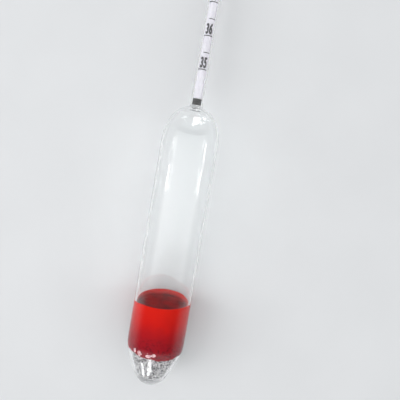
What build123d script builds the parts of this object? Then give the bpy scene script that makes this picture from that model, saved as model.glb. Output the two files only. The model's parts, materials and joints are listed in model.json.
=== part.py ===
from build123d import *
import math
import os

# A short plain-form hydrometer for petroleum: a sealed body of clear blown glass with a
# pointed nose, a thin hollow stem, shot set under red wax in the nose, and a rolled paper
# scale in the stem. It lies on its side, as it comes to rest on a table.
# Sizes are in millimetres. Stations are counted along the axis from the tip of the nose.

# Driving dimensions: glass body
body_diameter = 16.0
body_wall = 0.65
nose_tip_radius = 5.2
nose_cone_angle = 27.0
nose_shoulder_radius = 13.8
nose_tip_wall = 1.1
straight_length = 56.1
dome_height = 10.0
dome_crown_angle = 61.0

# Driving dimensions: glass stem
stem_diameter = 3.4
stem_wall = 0.4
stem_root_fillet = 0.8
stem_end_wall = 0.9
bare_stem_below_scale = 10.35
bare_stem_above_scale = 17.4

# Driving dimensions: shot and wax in the nose
shot_depth = 9.3
wax_depth = 12.4
meniscus_height = 1.1
meniscus_width = 1.2

# Driving dimensions: rolled paper scale and the cement that holds its foot
cement_height = 1.95
cement_foot_height = 0.2
paper_thickness = 0.10
paper_clearance = 0.15
paper_seam_gap = 28.0
paper_above_scale = 6.5

# Driving dimensions: graduations, in degrees of the density scale
lowest_degree = 35
highest_degree = 41
lines_per_degree = 10
ink_thickness = 0.035
whole_line_width = 0.26
minor_line_width = 0.22

# Where each line starts and ends round the paper, in degrees of turn from the front
line_start = 111.0
whole_line_end = -100.0
half_line_end = -24.0
tenth_line_end = 84.0

# The density scale: reading = 141.5 / relative density - 131.5, so the volume that the
# glass displaces grows in proportion to the reading plus this offset
scale_offset = 131.5

# Sizes that follow from the driving dimensions
body_radius = body_diameter / 2
bore_radius = body_radius - body_wall
stem_radius = stem_diameter / 2
stem_bore_radius = stem_radius - stem_wall


# The nose: a cone that would come to a point at the apex, with a round tip and a curved shoulder
cone_slope = math.radians(nose_cone_angle)
cone_apex = nose_tip_radius * (1 - 1 / math.sin(cone_slope))
shoulder_drop = nose_shoulder_radius * (1 - math.cos(cone_slope))
cone_end = cone_apex + (body_radius - shoulder_drop) / math.tan(cone_slope)
nose_length = cone_end + nose_shoulder_radius * math.sin(cone_slope)

# The dome: an arc that leaves the straight side, and a crown that closes it round the stem
crown_turn = math.radians(dome_crown_angle)
dome_centre_distance = (dome_height - body_radius) / (math.cos(crown_turn) + math.sin(crown_turn) - 1)
dome_crown_radius = dome_height - dome_centre_distance * math.cos(crown_turn)
dome_side_radius = dome_crown_radius + dome_centre_distance

# Stations along the axis
dome_base = nose_length + straight_length
dome_top = dome_base + dome_height
shot_top = nose_tip_wall + shot_depth
wax_top = shot_top + wax_depth
cement_foot = dome_top + cement_foot_height
cement_top = cement_foot + cement_height
first_mark = dome_top + bare_stem_below_scale
paper_radius = stem_bore_radius - paper_clearance


def nose_edges(start, inset):
    """Half outline of the nose, inset from the outside by the wall: tip, cone and shoulder."""
    sine = math.sin(cone_slope)
    apex = cone_apex + inset / sine
    tip_radius = (start - apex) * sine / (1 - sine)
    shoulder = nose_shoulder_radius - inset
    side = body_radius - inset

    def on_tip(turn):
        """Point on the round tip, a given turn from its foremost point."""
        return (start + tip_radius * (1 - math.cos(turn)), tip_radius * math.sin(turn))

    def on_shoulder(turn):
        """Point on the shoulder, a given turn before it meets the straight side."""
        return (nose_length - shoulder * math.sin(turn), side - shoulder * (1 - math.cos(turn)))

    tip_turn = math.pi / 2 - cone_slope
    return [
        ThreePointArc((start, 0), on_tip(tip_turn / 2), on_tip(tip_turn)),
        Line(on_tip(tip_turn), on_shoulder(cone_slope)),
        ThreePointArc(on_shoulder(cone_slope), on_shoulder(cone_slope / 2), (nose_length, side)),
    ]


def dome_edges(inset, root_radius):
    """Half outline of the dome, inset by the wall, down to where the stem leaves it."""
    side = dome_side_radius - inset
    crown = dome_crown_radius - inset

    def on_side(turn):
        """Point on the side arc, a given turn from the direction of the stem."""
        return (dome_base + side * math.cos(turn), body_radius - dome_side_radius + side * math.sin(turn))

    def on_crown(turn):
        """Point on the crown, a given turn from the direction of the stem."""
        return (dome_top - dome_crown_radius + crown * math.cos(turn), crown * math.sin(turn))

    right_angle = math.pi / 2
    root_turn = math.asin(root_radius / crown)
    return [
        ThreePointArc(on_side(right_angle), on_side((right_angle + crown_turn) / 2), on_side(crown_turn)),
        ThreePointArc(on_crown(crown_turn), on_crown((crown_turn + root_turn) / 2), on_crown(root_turn)),
    ]


def end_arc(end, radius):
    """Quarter circle that closes the stem at its tip."""
    diagonal = radius * math.sqrt(0.5)
    shoulder = end - radius
    return ThreePointArc((shoulder, radius), (shoulder + diagonal, diagonal), (end, 0))


def blown_form(start, inset, rod_radius, rod_end, root_fillet):
    """Bulb and stem as one body of revolution, flared where the stem is drawn from the dome."""
    side = body_radius - inset
    dome = dome_edges(inset, rod_radius)
    root = dome[-1] @ 1
    edges = nose_edges(start, inset)
    edges.append(Line((nose_length, side), (dome_base, side)))
    edges.extend(dome)
    edges.append(Line(root, (rod_end - rod_radius, rod_radius)))
    edges.append(end_arc(rod_end, rod_radius))
    edges.append(Line((rod_end, 0), (start, 0)))
    outline = make_face(edges)
    corner = outline.vertices().sort_by_distance(root)[0]
    return revolve(fillet(corner, root_fillet), Axis.X)


def slab(start, end):
    """Block twice as wide as the body, between two stations, to take a slice of a form."""
    width = 2 * body_diameter
    return Pos(X=(start + end) / 2) * Box(end - start, width, width)


def outer_form(end):
    """Outside of the glass, with a stem of a given end."""
    return blown_form(0, 0, stem_radius, end, stem_root_fillet)


def degree_spacing():
    """Length of stem between whole degrees, from the volume that floats below the first mark."""
    floating = outer_form(first_mark + stem_diameter) & slab(0, first_mark)
    stem_section = math.pi * stem_radius**2
    return floating.volume / (stem_section * (lowest_degree + scale_offset))


scale_length = degree_spacing() * (highest_degree - lowest_degree)
space_count = (highest_degree - lowest_degree) * lines_per_degree
last_mark = first_mark + scale_length
stem_end = last_mark + bare_stem_above_scale


def cavity():
    """The sealed space inside the glass: body, dome and stem bore."""
    bore_end = stem_end - stem_end_wall
    return blown_form(nose_tip_wall, body_wall, stem_bore_radius, bore_end, stem_root_fillet + body_wall)


def glass_envelope():
    """Body and stem, blown and sealed as one piece of glass round the cavity."""
    return outer_form(stem_end) - cavity()


def ballast_shot():
    """The bed of fine metal shot that fills the tip of the nose."""
    return cavity() & slab(0, shot_top)


def wax_surface_hollow():
    """Space above the wax: flat in the middle, and raised where the wax wets the glass."""
    flat_radius = bore_radius - meniscus_width
    rim = wax_top + meniscus_height
    outline = Polyline((wax_top, 0), (wax_top, flat_radius), (rim, bore_radius), (rim, 0), close=True)
    return revolve(make_face(outline), Axis.X)


def ballast_wax():
    """Red wax cast on the shot, which it holds down."""
    return (cavity() & slab(shot_top, wax_top + meniscus_height)) - wax_surface_hollow()


def scale_cement():
    """Dark plug cast in the root of the stem, on which the paper scale stands."""
    return cavity() & slab(cement_foot, cement_top)


def turned(outline, from_turn, to_turn):
    """Turns an outline on the front of the axis into a band between two turns from the front."""
    band = revolve(outline, Axis.X, revolution_arc=from_turn - to_turn)
    return Rot(X=to_turn) * band


def side_outline(start, end, inner_radius, outer_radius):
    """Rectangle beside the axis, on its front, between two stations and two radii."""
    centre = Vector((start + end) / 2, 0, (inner_radius + outer_radius) / 2)
    plane = Plane(origin=centre, x_dir=(1, 0, 0), z_dir=(0, -1, 0))
    return plane * Rectangle(end - start, outer_radius - inner_radius)


def scale_paper():
    """Strip of paper rolled into the stem, its long edges just short of meeting at the back."""
    sheet = side_outline(cement_top, last_mark + paper_above_scale, paper_radius - paper_thickness, paper_radius)
    half_turn = 180 - paper_seam_gap / 2
    return turned(sheet, half_turn, -half_turn)


def graduation(count):
    """One printed line: longest at whole degrees, shorter at half degrees and at tenths."""
    station = first_mark + scale_length * count / space_count
    if count % lines_per_degree == 0:
        width, end_turn = whole_line_width, whole_line_end
    elif 2 * count % lines_per_degree == 0:
        width, end_turn = minor_line_width, half_line_end
    else:
        width, end_turn = minor_line_width, tenth_line_end
    line = side_outline(station - width / 2, station + width / 2, paper_radius, paper_radius + ink_thickness)
    return turned(line, line_start, end_turn)


def scale_graduations():
    """All the printed lines of the scale, one for each tenth of a degree."""
    return Compound(children=[graduation(count) for count in range(space_count + 1)])


# At rest the body lies on the table, with the origin under the middle of the whole length
at_rest = Pos(X=-stem_end / 2, Z=body_radius)

nodes = {
    "glass_envelope": glass_envelope(),
    "ballast_shot": ballast_shot(),
    "ballast_wax": ballast_wax(),
    "scale_cement": scale_cement(),
    "scale_paper": scale_paper(),
    "scale_graduations": scale_graduations(),
}

os.makedirs("parts", exist_ok=True)
for name, shape in nodes.items():
    export_step(at_rest * shape, f"parts/{name}.step")

print(f"degree spacing {degree_spacing():.3f} mm, overall length {stem_end:.2f} mm")
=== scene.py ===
import bpy
import bmesh
import json
import math
import random
from itertools import product
from mathutils import Matrix, Vector, noise

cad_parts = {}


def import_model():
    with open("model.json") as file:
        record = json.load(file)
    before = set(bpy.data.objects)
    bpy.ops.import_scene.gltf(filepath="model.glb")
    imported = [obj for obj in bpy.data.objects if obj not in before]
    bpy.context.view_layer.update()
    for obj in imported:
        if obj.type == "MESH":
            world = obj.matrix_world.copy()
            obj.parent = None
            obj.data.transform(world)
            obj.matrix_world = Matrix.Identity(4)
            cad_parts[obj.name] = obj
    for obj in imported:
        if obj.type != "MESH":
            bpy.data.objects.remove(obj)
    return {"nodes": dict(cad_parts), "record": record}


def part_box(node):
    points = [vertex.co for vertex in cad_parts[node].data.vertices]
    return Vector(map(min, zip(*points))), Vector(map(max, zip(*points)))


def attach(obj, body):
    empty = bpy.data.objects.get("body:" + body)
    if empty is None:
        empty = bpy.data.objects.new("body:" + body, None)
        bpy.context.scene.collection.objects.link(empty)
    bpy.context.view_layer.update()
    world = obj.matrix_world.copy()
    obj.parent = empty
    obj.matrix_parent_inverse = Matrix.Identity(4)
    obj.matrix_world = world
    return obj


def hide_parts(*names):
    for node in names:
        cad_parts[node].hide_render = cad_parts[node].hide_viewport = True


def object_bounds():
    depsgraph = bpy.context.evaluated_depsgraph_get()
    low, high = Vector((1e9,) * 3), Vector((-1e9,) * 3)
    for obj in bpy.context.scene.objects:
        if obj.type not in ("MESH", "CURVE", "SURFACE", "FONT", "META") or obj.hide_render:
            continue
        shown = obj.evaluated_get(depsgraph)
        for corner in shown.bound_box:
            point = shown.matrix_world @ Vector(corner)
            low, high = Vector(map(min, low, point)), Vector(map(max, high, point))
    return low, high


# A sealed hydrometer of clear blown glass that lies on a pale table, with metal shot under red
# wax in its pointed nose and a rolled paper scale in its thin stem. Sizes are in metres.
# Stations are places along X, and a turn is counted round the axis from the front, which is up.
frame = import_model()
cad_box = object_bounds()

MM = 0.001
record_mounts = {mount["name"]: mount for mount in frame["record"]["mounts"]}


def pin(name):
    """Radius of a round mount, and the stations where it starts and ends."""
    mount = record_mounts[name]
    half = mount["dims"]["length_mm"] * MM / 2
    middle = mount["pos_m"][0]
    return mount["dims"]["r_mm"] * MM, middle - half, middle + half


# Sizes from the frame
body_radius, nose_end, dome_base = pin("body")
stem_radius, stem_start, _ = pin("stem")
axis_height = record_mounts["body"]["pos_m"][2]
nose_tip = cad_box[0].x
stem_end = cad_box[1].x
cavity_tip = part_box("ballast_shot")[0].x
shot_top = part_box("ballast_shot")[1].x
wax_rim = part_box("ballast_wax")[1].x
cement_low, cement_high = [corner.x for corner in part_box("scale_cement")]
paper_radius = -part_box("scale_paper")[0].y
first_line, last_line = [corner.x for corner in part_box("scale_graduations")]

# Sizes that the frame doesn't give
body_wall = 0.65 * MM
stem_wall = 0.4 * MM
stem_end_wall = 0.9 * MM
nose_tip_radius = 5.2 * MM
nose_cone_angle = math.radians(27)
nose_shoulder_radius = 13.8 * MM
dome_height = 10.0 * MM
dome_crown_angle = math.radians(61)
root_fillet = 0.8 * MM
meniscus_height = 1.1 * MM
meniscus_width = 1.2 * MM
whole_line_width = 0.26 * MM

RING_STEPS = 192


def around(station, radius, turn):
    """Point at a station, a radius from the axis and a turn from the front."""
    return Vector((station, -radius * math.sin(turn), axis_height + radius * math.cos(turn)))


def arc(centre, radius, start, end, steps):
    """Points (station, radius) on an arc, between two angles from the direction of the stem."""
    points = []
    for step in range(steps + 1):
        angle = start + (end - start) * step / steps
        points.append((centre[0] + radius * math.cos(angle), centre[1] + radius * math.sin(angle)))
    return points


def straight(start, end, steps):
    """Points on a straight line, without its own first point."""
    points = []
    for step in range(1, steps + 1):
        share = step / steps
        points.append((start[0] + (end[0] - start[0]) * share, start[1] + (end[1] - start[1]) * share))
    return points


def nose_profile(start, inset):
    """Tip, cone and shoulder of the nose, inset from the outside by the wall."""
    sine = math.sin(nose_cone_angle)
    apex = nose_tip + nose_tip_radius * (1 - 1 / sine) + inset / sine
    tip_radius = (start - apex) * sine / (1 - sine)
    tip = arc((start + tip_radius, 0), tip_radius, math.pi, math.pi / 2 + nose_cone_angle, 24)
    shoulder_radius = nose_shoulder_radius - inset
    shoulder_centre = (nose_end, body_radius - nose_shoulder_radius)
    shoulder = arc(shoulder_centre, shoulder_radius, math.pi / 2 + nose_cone_angle, math.pi / 2, 14)
    return tip + straight(tip[-1], shoulder[0], 4)[:-1] + shoulder


def bulb_profile(start, inset, rod_radius, rod_end, fillet):
    """Whole half outline of the glass, outside or inside, from the tip of the nose to the stem's end."""
    cosine, sine = math.cos(dome_crown_angle), math.sin(dome_crown_angle)
    centre_distance = (dome_height - body_radius) / (cosine + sine - 1)
    crown = dome_height - centre_distance * cosine
    side = crown + centre_distance
    crown_centre = dome_base + dome_height - crown
    crown -= inset
    reach = math.sqrt((crown + fillet) ** 2 - (rod_radius + fillet) ** 2)
    root_angle = math.atan2(rod_radius + fillet, reach)
    profile = nose_profile(start, inset)
    profile += straight(profile[-1], (dome_base, body_radius - inset), 24)[:-1]
    profile += arc((dome_base, body_radius - side), side - inset, math.pi / 2, dome_crown_angle, 12)[:-1]
    profile += arc((crown_centre, 0), crown, dome_crown_angle, root_angle, 22)[:-1]
    flare_centre = (crown_centre + reach, rod_radius + fillet)
    profile += arc(flare_centre, fillet, math.pi + root_angle, 1.5 * math.pi, 10)
    profile += straight(profile[-1], (rod_end - rod_radius, rod_radius), 40)[:-1]
    profile += arc((rod_end - rod_radius, 0), rod_radius, math.pi / 2, 0, 12)
    return profile


outer_profile = bulb_profile(nose_tip, 0, stem_radius, stem_end, root_fillet)
inner_profile = bulb_profile(
    cavity_tip, body_wall, stem_radius - stem_wall, stem_end - stem_end_wall, root_fillet + body_wall
)


def radius_at(profile, station):
    """Radius of a profile at a station."""
    for (start, start_radius), (end, end_radius) in zip(profile, profile[1:]):
        if start <= station <= end:
            share = (station - start) / (end - start) if end > start else 0
            return start_radius + (end_radius - start_radius) * share
    return 0


class Form:
    """Points and faces of a mesh under construction."""

    def __init__(self):
        self.points = []
        self.faces = []

    def add_lathe(self, profile, inward=False, waver=None):
        """Adds a closed form of revolution, from a profile that starts and ends on the axis."""
        rings = []
        for place, (station, radius) in enumerate(profile):
            first = len(self.points)
            if place in (0, len(profile) - 1):
                self.points.append((station, 0, axis_height))
                rings.append([first] * RING_STEPS)
                continue
            for step in range(RING_STEPS):
                turn = 2 * math.pi * step / RING_STEPS
                moved = waver(station, radius, turn) if waver else (station, radius)
                self.points.append(around(*moved, turn))
            rings.append(range(first, first + RING_STEPS))
        for ring, following in zip(rings, rings[1:]):
            for step in range(RING_STEPS):
                beside = (step + 1) % RING_STEPS
                corners = (ring[step], ring[beside], following[beside], following[step])
                # At the axis two corners are one point, which the face names once
                corners = list(dict.fromkeys(corners))
                if inward:
                    corners.reverse()
                self.faces.append(corners)

    def add_copy(self, points, faces):
        """Adds a copy of a mesh that is given as its points and faces."""
        first = len(self.points)
        self.points.extend(points)
        self.faces.extend([[first + corner for corner in face] for face in faces])

    def piece(self, name, material, node=None, sharp_angle=None):
        """Makes an object that rides on the body, with its material, slot and node."""
        data = bpy.data.meshes.new(name)
        data.from_pydata(self.points, [], self.faces)
        data.shade_smooth()
        if sharp_angle:
            data.set_sharp_from_angle(angle=math.radians(sharp_angle))
        data.materials.append(material)
        made = bpy.data.objects.new(name, data)
        bpy.context.scene.collection.objects.link(made)
        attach(made, "root")
        if node:
            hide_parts(node)
        return made


# Materials
class Shader:
    """A material's node tree, with short calls to add nodes to it."""

    def __init__(self, name):
        self.material = bpy.data.materials.new(name)
        self.material.use_nodes = True
        self.tree = self.material.node_tree
        self.tree.nodes.clear()
        self.output = self.tree.nodes.new("ShaderNodeOutputMaterial")
        self.coordinates = self.tree.nodes.new("ShaderNodeTexCoord").outputs["Object"]

    def node(self, kind, **inputs):
        """Adds a node. An input is a value or another node's output."""
        made = self.tree.nodes.new("ShaderNode" + kind)
        for name, value in inputs.items():
            socket = made.inputs[name.replace("_", " ")]
            if isinstance(value, bpy.types.NodeSocket):
                self.tree.links.new(value, socket)
            else:
                socket.default_value = value
        return made

    def noise(self, scale, detail=3.0, stretch=(1, 1, 1)):
        """Noise from 0 to 1, with features of about 1 / scale metres."""
        mapping = self.node("Mapping", Vector=self.coordinates, Scale=stretch)
        made = self.node("TexNoise", Vector=mapping.outputs["Vector"], Scale=scale, Detail=detail)
        return made.outputs["Fac"]

    def ramp(self, factor, *stops):
        """Colour ramp with (place, colour) stops."""
        made = self.node("ValToRGB", Fac=factor)
        elements = made.color_ramp.elements
        elements[0].position, elements[0].color = stops[0]
        elements[1].position, elements[1].color = stops[-1]
        for place, colour in stops[1:-1]:
            elements.new(place).color = colour
        return made.outputs["Color"]

    def along(self, start, end):
        """0 at one station and 1 at another, along the axis."""
        parts = self.node("SeparateXYZ", Vector=self.coordinates)
        made = self.node("MapRange", Value=parts.outputs["X"])
        made.inputs["From Min"].default_value = start
        made.inputs["From Max"].default_value = end
        return made.outputs["Result"]

    def bump(self, height, strength, distance):
        """Normal moved by a height, which counts as a distance in metres."""
        return self.node("Bump", Height=height, Strength=strength, Distance=distance).outputs["Normal"]

    def mix(self, factor, first, second):
        """Blend of two colours."""
        made = self.node("MixRGB", Fac=factor, Color1=first, Color2=second)
        return made.outputs["Color"]

    def math(self, operation, first, second):
        """Result of one operation on two values."""
        made = self.tree.nodes.new("ShaderNodeMath")
        made.operation = operation
        for socket, value in zip(made.inputs, (first, second)):
            if isinstance(value, bpy.types.NodeSocket):
                self.tree.links.new(value, socket)
            else:
                socket.default_value = value
        return made.outputs["Value"]

    def finish(self, surface):
        """Sends a shader to the output."""
        self.tree.links.new(surface.outputs[0], self.output.inputs["Surface"])
        return self.material


def rgb(red, green, blue):
    """Colour of a shader from display values of 0 to 255."""
    def linear(value):
        """Share of full light for one display value."""
        share = value / 255
        return share / 12.92 if share <= 0.04045 else ((share + 0.055) / 1.055) ** 2.4

    return (linear(red), linear(green), linear(blue), 1)


def grey(level):
    """Grey of a given level, as a colour."""
    return (level, level, level, 1)


WHITE = (1, 1, 1, 1)
BLACK = (0, 0, 0, 1)


def glass_material():
    """Clear glass, a little uneven from blowing, that lets light through to what is in it."""
    shader = Shader("clear_blown_glass")
    streaks = shader.noise(90, stretch=(0.3, 1, 1))
    tint = shader.ramp(streaks, (0.3, rgb(253, 254, 254)), (0.7, WHITE))
    unevenness = shader.bump(shader.noise(260, 1.0, stretch=(0.25, 1, 1)), 1.0, 0.02 * MM)
    glass = shader.node("BsdfPrincipled", Base_Color=tint, Roughness=0.0, IOR=1.5, Normal=unevenness)
    glass.inputs["Transmission Weight"].default_value = 1.0
    clear = shader.node("BsdfTransparent", Color=rgb(254, 255, 255))
    path = shader.node("LightPath")
    mixed = shader.tree.nodes.new("ShaderNodeMixShader")
    shader.tree.links.new(path.outputs["Is Shadow Ray"], mixed.inputs[0])
    shader.tree.links.new(glass.outputs[0], mixed.inputs[1])
    shader.tree.links.new(clear.outputs[0], mixed.inputs[2])
    return shader.finish(mixed)


def wax_material():
    """Translucent red wax: orange-red above, crimson with dark grains at the shot, and painted shade that
    darkens its top.
    """
    shader = Shader("red_wax")
    wander = shader.math("MULTIPLY", shader.noise(420), 0.16)
    height = shader.math("ADD", shader.along(shot_top, wax_rim), wander)
    depth = shader.ramp(
        height,
        (0.12, rgb(136, 9, 33)),
        (0.45, rgb(168, 12, 26)),
        (0.75, rgb(206, 20, 10)),
        (1.0, rgb(214, 26, 6)),
    )
    cloudy = shader.mix(shader.math("MULTIPLY", shader.noise(700, 4.0), 0.3), depth, rgb(160, 6, 12))
    grains = shader.node("TexVoronoi", Vector=shader.coordinates, Scale=1500).outputs["Distance"]
    grain_mask = shader.ramp(grains, (0.26, WHITE), (0.42, BLACK))
    low_mask = shader.ramp(height, (0.2, WHITE), (0.55, BLACK))
    dark = shader.math("MULTIPLY", grain_mask, low_mask)
    side_colour = shader.mix(shader.math("MULTIPLY", dark, 0.75), cloudy, rgb(70, 4, 20))

    # Painted shade: the faces of the top, which look towards the stem, get a darker red than the sides,
    # for the shade that falls there.
    normal = shader.node("TexCoord").outputs["Normal"]
    facing = shader.node("SeparateXYZ", Vector=normal).outputs["X"]
    top_shade_mask = shader.ramp(facing, (0.35, BLACK), (0.85, WHITE))
    painted_top_shade = shader.ramp(shader.noise(260, 2.0), (0.35, rgb(104, 4, 8)), (0.65, rgb(146, 8, 10)))
    colour = shader.mix(top_shade_mask, side_colour, painted_top_shade)

    relief = shader.bump(shader.noise(1500, 2.0), 0.4, 0.03 * MM)
    wax = shader.node("BsdfPrincipled", Base_Color=colour, Roughness=0.38, IOR=1.44, Normal=relief)
    wax.inputs["Subsurface Weight"].default_value = 0.35
    wax.inputs["Subsurface Radius"].default_value = (1.0, 0.16, 0.08)
    wax.inputs["Subsurface Scale"].default_value = 1.6 * MM
    wax.inputs["Specular IOR Level"].default_value = 0.05
    return shader.finish(wax)


def shot_material():
    """Dull grey metal grains, some darker than others."""
    shader = Shader("fine_metal_shot")
    colour = shader.ramp(shader.noise(1900, 1.0), (0.36, rgb(66, 65, 69)), (0.62, rgb(212, 211, 213)))
    rough = shader.ramp(shader.noise(5200, 2.0), (0.3, grey(0.28)), (0.7, grey(0.5)))
    metal = shader.node("BsdfPrincipled", Base_Color=colour, Roughness=rough, Metallic=0.7)
    return shader.finish(metal)


def cement_material():
    """Black cement, greyer towards its foot."""
    shader = Shader("black_cement")
    wander = shader.math("MULTIPLY", shader.noise(1500), 0.5)
    height = shader.math("ADD", shader.along(cement_low, cement_high), wander)
    colour = shader.ramp(height, (0.25, rgb(44, 44, 48)), (0.75, rgb(8, 8, 9)))
    relief = shader.bump(shader.noise(3500, 4.0), 0.6, 0.05 * MM)
    return shader.finish(shader.node("BsdfPrincipled", Base_Color=colour, Roughness=0.6, Normal=relief))


def paper_material():
    """Smooth white paper with a faint lavender cast and fine fibres."""
    shader = Shader("scale_paper")
    fibres = shader.noise(2400, 5.0, (0.3, 1, 1))
    colour = shader.ramp(fibres, (0.3, rgb(216, 213, 223)), (0.7, rgb(227, 225, 232)))
    relief = shader.bump(shader.noise(9000, 4.0), 0.5, 0.01 * MM)
    return shader.finish(shader.node("BsdfPrincipled", Base_Color=colour, Roughness=0.75, Normal=relief))


def ink_material():
    """Black printing ink, a little thin in places."""
    shader = Shader("printing_ink")
    colour = shader.ramp(shader.noise(6000, 4.0), (0.35, rgb(6, 6, 12)), (0.75, rgb(26, 25, 36)))
    rough = shader.ramp(shader.noise(9000, 2.0), (0.3, grey(0.45)), (0.7, grey(0.65)))
    return shader.finish(shader.node("BsdfPrincipled", Base_Color=colour, Roughness=rough))


def glass_envelope(material):
    """The glass as one mesh with two surfaces: the outside, and the wall of the cavity."""
    form = Form()
    form.add_lathe(outer_profile)
    form.add_lathe(inner_profile, inward=True)
    return form.piece("blown_glass", material, "glass_envelope")


def wax_body(material):
    """Wax that wets the glass, set with its top a little lower on the left."""
    wetting = 0.06 * MM
    tilt = math.radians(3.3)
    dip_depth = 0.05 * MM
    dips_per_metre = 500
    foot_sag = 0.5 * MM
    foot_waver = 0.35 * MM
    foot_waves_per_metre = 1100
    # Rises and falls of the rim: height, the turn at their middle and half their width
    rim_humps = ((0.35 * MM, math.pi, 1.5), (-0.55 * MM, -1.35, 0.7), (-0.25 * MM, 1.6, 0.8))
    bore = body_radius - body_wall
    flat_station = wax_rim - meniscus_height
    flat_radius = bore - meniscus_width
    side_steps = 48
    profile = [(shot_top, 0), (shot_top, radius_at(inner_profile, shot_top) * 0.5)]
    for step in range(side_steps + 1):
        station = shot_top + (wax_rim - shot_top) * step / side_steps
        profile.append((station, radius_at(inner_profile, station) + wetting))
    bend_steps = 14
    for step in range(bend_steps + 1):
        share = 1 - step / bend_steps
        profile.append((flat_station + meniscus_height * share**2.4, flat_radius + meniscus_width * share))
    profile += straight(profile[-1], (flat_station, 0), 12)

    def hump(turn, middle, half_width):
        """1 at one turn, falling to 0 on both sides of it."""
        away = abs((turn - middle + math.pi) % (2 * math.pi) - math.pi)
        return math.cos(min(away / half_width, 1) * math.pi / 2) ** 2

    def waver(station, radius, turn):
        """Leans the top, lets the rim rise and fall, and makes the foot uneven between the grains."""
        place = around(station, radius, turn)
        share = (station - shot_top) / (wax_rim - shot_top)
        if share < 0.01:
            sag = foot_sag * hump(turn, 0.1, 1.2)
            return station - sag + foot_waver * noise.noise(place * foot_waves_per_metre), radius
        lean = radius * math.sin(turn) * math.tan(tilt)
        dips = dip_depth * noise.noise(place * dips_per_metre)
        rim = sum(height * hump(turn, middle, half_width) for height, middle, half_width in rim_humps)
        rim *= min(radius / bore, 1) ** 8
        return station + (lean + dips + rim) * share**3, radius

    form = Form()
    form.add_lathe(profile, waver=waver)
    return form.piece("wax_fill", material, "ballast_wax", sharp_angle=50)


def shot_core(material):
    """The dark mass of grains that lie behind the outer layer of the shot."""
    depth = 0.34 * MM
    wax_gap = 0.02 * MM
    least_radius = 0.05 * MM
    bump_height = 0.06 * MM
    bumps_per_metre = 3200
    steps = 60
    tip = cavity_tip + depth
    top = shot_top - wax_gap
    profile = [(tip, 0)]
    for step in range(1, steps):
        station = tip + (top - tip) * step / steps
        radius = radius_at(inner_profile, station - 0.5 * depth) - depth
        profile.append((station, max(radius, least_radius)))
    profile.append((top, profile[-1][1] - depth))
    profile.append((top, 0))

    def waver(station, radius, turn):
        """Bumps of about a grain."""
        place = around(station, radius, turn)
        return station, radius + bump_height * noise.noise(place * bumps_per_metre)

    form = Form()
    form.add_lathe(profile, waver=waver)
    return form.piece("shot_mass", material)


def unit_sphere():
    """Points and faces of a round grain with a radius of 1."""
    mesh = bmesh.new()
    bmesh.ops.create_icosphere(mesh, subdivisions=2, radius=1)
    points = [vert.co.copy() for vert in mesh.verts]
    faces = [[vert.index for vert in face.verts] for face in mesh.faces]
    mesh.free()
    return points, faces


def shot_places():
    """Places and sizes of the grains: one layer against the wall of the nose, none too near another."""
    draw = random.Random(7)
    smallest = 0.21 * MM
    largest = 0.28 * MM
    spacing = 0.45 * MM
    set_back = 0.1 * MM
    wanted = 1600
    tries_per_grain = 14
    outline = [point for point in inner_profile if point[0] < shot_top]
    outline.append((shot_top, radius_at(inner_profile, shot_top)))
    bands = list(zip(outline, outline[1:]))
    areas = [math.dist(start, end) * (start[1] + end[1]) for start, end in bands]
    taken = {}
    places = []
    for start, end in draw.choices(bands, areas, k=wanted * tries_per_grain):
        share = draw.random()
        turn = draw.random() * 2 * math.pi
        grain = smallest + (largest - smallest) * draw.random()
        depth = grain + set_back * draw.random() ** 2
        length = math.dist(start, end)
        station = start[0] + (end[0] - start[0]) * share + (end[1] - start[1]) / length * depth
        radius = start[1] + (end[1] - start[1]) * share - (end[0] - start[0]) / length * depth
        if station > shot_top - grain or radius < 0 or len(places) >= wanted:
            continue
        place = around(station, radius, turn)
        cell = [math.floor(value / spacing) for value in place]
        nearby = [tuple(map(sum, zip(cell, steps))) for steps in product((-1, 0, 1), repeat=3)]
        if any((other - place).length < spacing for key in nearby for other in taken.get(key, ())):
            continue
        taken.setdefault(tuple(cell), []).append(place)
        places.append((place, grain))
    return places


def shot_grains(material):
    """Round grains of several sizes, one layer deep."""
    points, faces = unit_sphere()
    form = Form()
    for place, grain in shot_places():
        form.add_copy([place + point * grain for point in points], faces)
    return form.piece("shot_grains", material, "ballast_shot")


def stem_cement(material):
    """The plug of cement, just clear of the bore, with an uneven top and foot."""
    clearance = 0.015 * MM
    lump_size = 0.05 * MM
    end_lump_size = 0.15 * MM
    lumps_per_metre = 1500
    steps = 24
    middle = (cement_low + cement_high) / 2
    half_length = (cement_high - cement_low) / 2
    profile = [(cement_low, 0)]
    for step in range(steps + 1):
        station = cement_low + (cement_high - cement_low) * step / steps
        profile.append((station, radius_at(inner_profile, station) - clearance))
    profile.append((cement_high, 0))

    def waver(station, radius, turn):
        """Lumps that only ever take material away."""
        place = around(station, radius, turn)
        lump = 0.5 + 0.5 * noise.noise(place * lumps_per_metre)
        endwise = (station - middle) / half_length
        return station - end_lump_size * lump * endwise**5, radius - lump_size * lump

    form = Form()
    form.add_lathe(profile, waver=waver)
    return form.piece("stem_cement", material, "scale_cement", sharp_angle=50)


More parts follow.
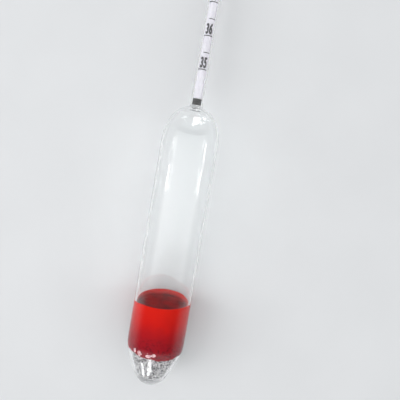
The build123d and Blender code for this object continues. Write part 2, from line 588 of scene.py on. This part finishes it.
def flat_number(value, width, height, thickness):
    """A number in tall bold figures, as a bmesh that stands on y = 0 and is centred on x = 0."""
    bolder = 0.03
    words = bpy.data.curves.new("number", "FONT")
    words.body = str(value)
    words.offset = bolder
    words.extrude = 0.1
    words.space_character = 1.12
    holder = bpy.data.objects.new("number", words)
    bpy.context.scene.collection.objects.link(holder)
    bpy.context.view_layer.update()
    data = bpy.data.meshes.new_from_object(holder.evaluated_get(bpy.context.evaluated_depsgraph_get()))
    bpy.data.objects.remove(holder)
    bpy.data.curves.remove(words)
    mesh = bmesh.new()
    # The number is laid down twice, side by side, for bolder strokes
    for shift in (-bolder, 2 * bolder):
        data.transform(Matrix.Translation((shift, 0, 0)))
        mesh.from_mesh(data)
    bpy.data.meshes.remove(data)
    low = [min(vert.co[axis] for vert in mesh.verts) for axis in range(3)]
    high = [max(vert.co[axis] for vert in mesh.verts) for axis in range(3)]
    scale = [wanted / (top - foot) for wanted, top, foot in zip((width, height, thickness), high, low)]
    for vert in mesh.verts:
        vert.co = [(vert.co[axis] - low[axis]) * scale[axis] for axis in range(3)]
        vert.co.x -= width / 2
    return mesh


def scale_numbers(material):
    """Numbers at the whole degrees, wrapped round the front of the paper."""
    lowest = 35
    count = 7
    figure_width = 1.8 * MM
    figure_height = 3.05 * MM
    rise = 0.4 * MM
    paper_gap = 0.006 * MM
    proud = 0.02 * MM
    cut_spacing = 0.06 * MM
    first = first_line + whole_line_width / 2
    spacing = (last_line - whole_line_width / 2 - first) / (count - 1)
    form = Form()
    for index in range(count):
        mesh = flat_number(lowest + index, figure_width, figure_height, proud)
        cuts = int(figure_width / cut_spacing / 2)
        for cut in range(-cuts, cuts + 1):
            geometry = mesh.verts[:] + mesh.edges[:] + mesh.faces[:]
            place = (cut * cut_spacing, 0, 0)
            bmesh.ops.bisect_plane(mesh, geom=geometry, plane_co=place, plane_no=(1, 0, 0))
        mesh.verts.index_update()
        foot = first + spacing * index + rise
        points = []
        for vert in mesh.verts:
            x, y, z = vert.co
            points.append(around(foot + y, paper_radius + paper_gap + z, x / paper_radius))
        form.add_copy(points, [[vert.index for vert in face.verts] for face in mesh.faces])
        mesh.free()
    return form.piece("scale_numbers", material, sharp_angle=40)


# The pieces
shot_look = shot_material()
ink_look = ink_material()
glass_envelope(glass_material())
wax_body(wax_material())
shot_core(shot_look)
shot_grains(shot_look)
stem_cement(cement_material())
scale_numbers(ink_look)
for node_name, look in {"scale_paper": paper_material(), "scale_graduations": ink_look}.items():
    data = frame["nodes"][node_name].data
    data.materials.clear()
    data.materials.append(look)


# The floor, lights and world
def floor():
    """A plain pale table top."""
    size = 3.0
    mesh = bmesh.new()
    bmesh.ops.create_grid(mesh, x_segments=1, y_segments=1, size=size)
    data = bpy.data.meshes.new("floor")
    mesh.to_mesh(data)
    mesh.free()
    shader = Shader("pale_table")
    colour = shader.ramp(shader.noise(40, 2.0), (0.3, rgb(217, 219, 221)), (0.7, rgb(220, 222, 224)))
    matt = shader.node("BsdfPrincipled", Base_Color=colour, Roughness=0.9)
    matt.inputs["Specular IOR Level"].default_value = 0.0
    data.materials.append(shader.finish(matt))
    top = bpy.data.objects.new("floor", data)
    bpy.context.scene.collection.objects.link(top)


def pane(name, place, aim, width, height, radiance, side=(1, 0, 0), mirrored=True):
    """A rectangular pane turned towards a point, either seen in reflections or giving light, not both."""
    lamp = bpy.data.lights.new(name, "AREA")
    lamp.shape = "RECTANGLE"
    lamp.size = width
    lamp.size_y = height
    lamp.energy = radiance * math.pi * width * height
    holder = bpy.data.objects.new(name, lamp)
    bpy.context.scene.collection.objects.link(holder)
    back = (Vector(place) - Vector(aim)).normalized()
    side = Vector(side)
    side = (side - back * back.dot(side)).normalized()
    turned = Matrix((side, back.cross(side), back)).transposed().to_4x4()
    holder.matrix_world = Matrix.Translation(place) @ turned
    holder.visible_camera = False
    holder.visible_diffuse = not mirrored
    holder.visible_glossy = mirrored
    holder.visible_transmission = mirrored


def studio():
    """A soft lamp on the left, and the panes of the windows that the glass mirrors."""
    body_middle = (nose_end + dome_base) / 2
    lamp_size = 0.5
    lamp_radiance = 2.5
    place = (body_middle, 0.6, 0.5)
    aim = (body_middle, 0, axis_height)
    pane("soft_lamp", place, aim, lamp_size, lamp_size, lamp_radiance, mirrored=False)

    # Beside the body, two panes on each side for the long highlights: name, side, station and width
    distance = 0.4
    lean = math.radians(67)
    pane_height = 0.009
    pane_radiance = 60
    beside = (
        ("left_0", 1, -0.049, 0.034),
        ("left_1", 1, 0.0, 0.027),
        ("right_0", -1, -0.049, 0.034),
        ("right_1", -1, 0.0, 0.045),
    )
    for title, hand, station, width in beside:
        on_axis = Vector((station, 0, axis_height))
        place = on_axis + distance * Vector((0, hand * math.sin(lean), math.cos(lean)))
        pane(f"pane_{title}", place, on_axis, width, pane_height, pane_radiance)

    # Before the nose and beyond the dome, upright panes, in millimetres and degrees: place across
    # and up, width, height, lean and radiance
    before = (
        (15, 66, 23, 84, -13, 5),
        (49, 25, 15, 40, -40, 5),
        (50, 132, 48, 40, 0, 11),
        (0, 162, 46, 40, 0, 11),
        (127, 76, 48, 46, 0, 8),
        (163, 18, 40, 28, 0, 8),
    )
    beyond = ((-37, 98, 84, 72, 0, 5), (-110, 16, 60, 28, 0, 5), (102, 55, 40, 40, 0, 2))
    nose_distance = 0.1
    dome_distance = 0.15
    walls = (
        ("nose", nose_tip - nose_distance, 1, before),
        ("dome", stem_start + dome_distance, -1, beyond),
    )
    for title, station, heading, panes in walls:
        for number, (across, up, width, height, turn, radiance) in enumerate(panes):
            place = Vector((station, across * MM, up * MM))
            side = (0, math.cos(math.radians(turn)), math.sin(math.radians(turn)))
            aim = place + Vector((heading, 0, 0))
            pane(f"{title}_pane_{number}", place, aim, width * MM, height * MM, radiance, side=side)


def world():
    """A pale room with a bright ceiling, which has a dark stretch towards the nose."""
    made = bpy.data.worlds.new("studio")
    bpy.context.scene.world = made
    made.use_nodes = True
    tree = made.node_tree
    tree.nodes.clear()

    def node(kind, **settings):
        """Adds a node with its settings."""
        added = tree.nodes.new("ShaderNode" + kind)
        for name, value in settings.items():
            setattr(added, name, value)
        return added

    parts = node("SeparateXYZ")
    tree.links.new(node("TexCoord").outputs["Generated"], parts.inputs[0])

    # The ceiling from the side of the nose, at 0, to the side of the stem, at 1
    along = node("MapRange")
    tree.links.new(parts.outputs["X"], along.inputs["Value"])
    along.inputs["From Min"].default_value = -1
    ceiling = node("ValToRGB")
    tree.links.new(along.outputs["Result"], ceiling.inputs["Fac"])
    elements = ceiling.color_ramp.elements
    elements[0].color = grey(1.2)
    elements[1].color = grey(0.8)
    stops = ((0.2, 1.0), (0.26, 0.12), (0.325, 0.12), (0.345, 1.4), (0.48, 1.4), (0.62, 0.7))
    for place, level in stops:
        elements.new(place).color = grey(level)

    # The walls, which go over into the ceiling above the horizon
    rise = node("MapRange", interpolation_type="SMOOTHSTEP")
    tree.links.new(parts.outputs["Z"], rise.inputs["Value"])
    rise.inputs["From Max"].default_value = 0.45
    room = node("MixRGB")
    tree.links.new(rise.outputs["Result"], room.inputs["Fac"])
    room.inputs["Color1"].default_value = (0.62, 0.62, 0.63, 1)
    tree.links.new(ceiling.outputs["Color"], room.inputs["Color2"])
    background = node("Background")
    output = node("OutputWorld")
    tree.links.new(room.outputs["Color"], background.inputs["Color"])
    tree.links.new(background.outputs[0], output.inputs["Surface"])


def camera():
    """The photograph's camera, above the body and turned a little about its own axes."""
    lens = bpy.data.cameras.new("camera")
    lens.sensor_width = 36
    lens.lens = 36
    lens.shift_y = -0.1
    lens.clip_start = 0.005
    holder = bpy.data.objects.new("camera", lens)
    bpy.context.scene.collection.objects.link(holder)
    along = 65.36 * MM
    above = 112.63 * MM
    pitch = math.radians(0.567)
    yaw = math.radians(1.849)
    roll = math.radians(-9.711)
    # Looks straight down with the stem towards the top of the picture
    straight_down = Matrix(((0, 1, 0), (-1, 0, 0), (0, 0, 1))).to_4x4()
    turned = straight_down @ Matrix.Rotation(-pitch, 4, "X") @ Matrix.Rotation(-yaw, 4, "Y")
    turned = turned @ Matrix.Rotation(-roll, 4, "Z")
    holder.matrix_world = Matrix.Translation((nose_tip + along, 0, axis_height + above)) @ turned
    bpy.context.scene.camera = holder


floor()
studio()
world()
camera()
bpy.context.scene.view_settings.view_transform = "Standard"
bpy.context.scene.cycles.max_bounces = 24
bpy.context.scene.cycles.glossy_bounces = 16
bpy.context.scene.cycles.transmission_bounces = 20
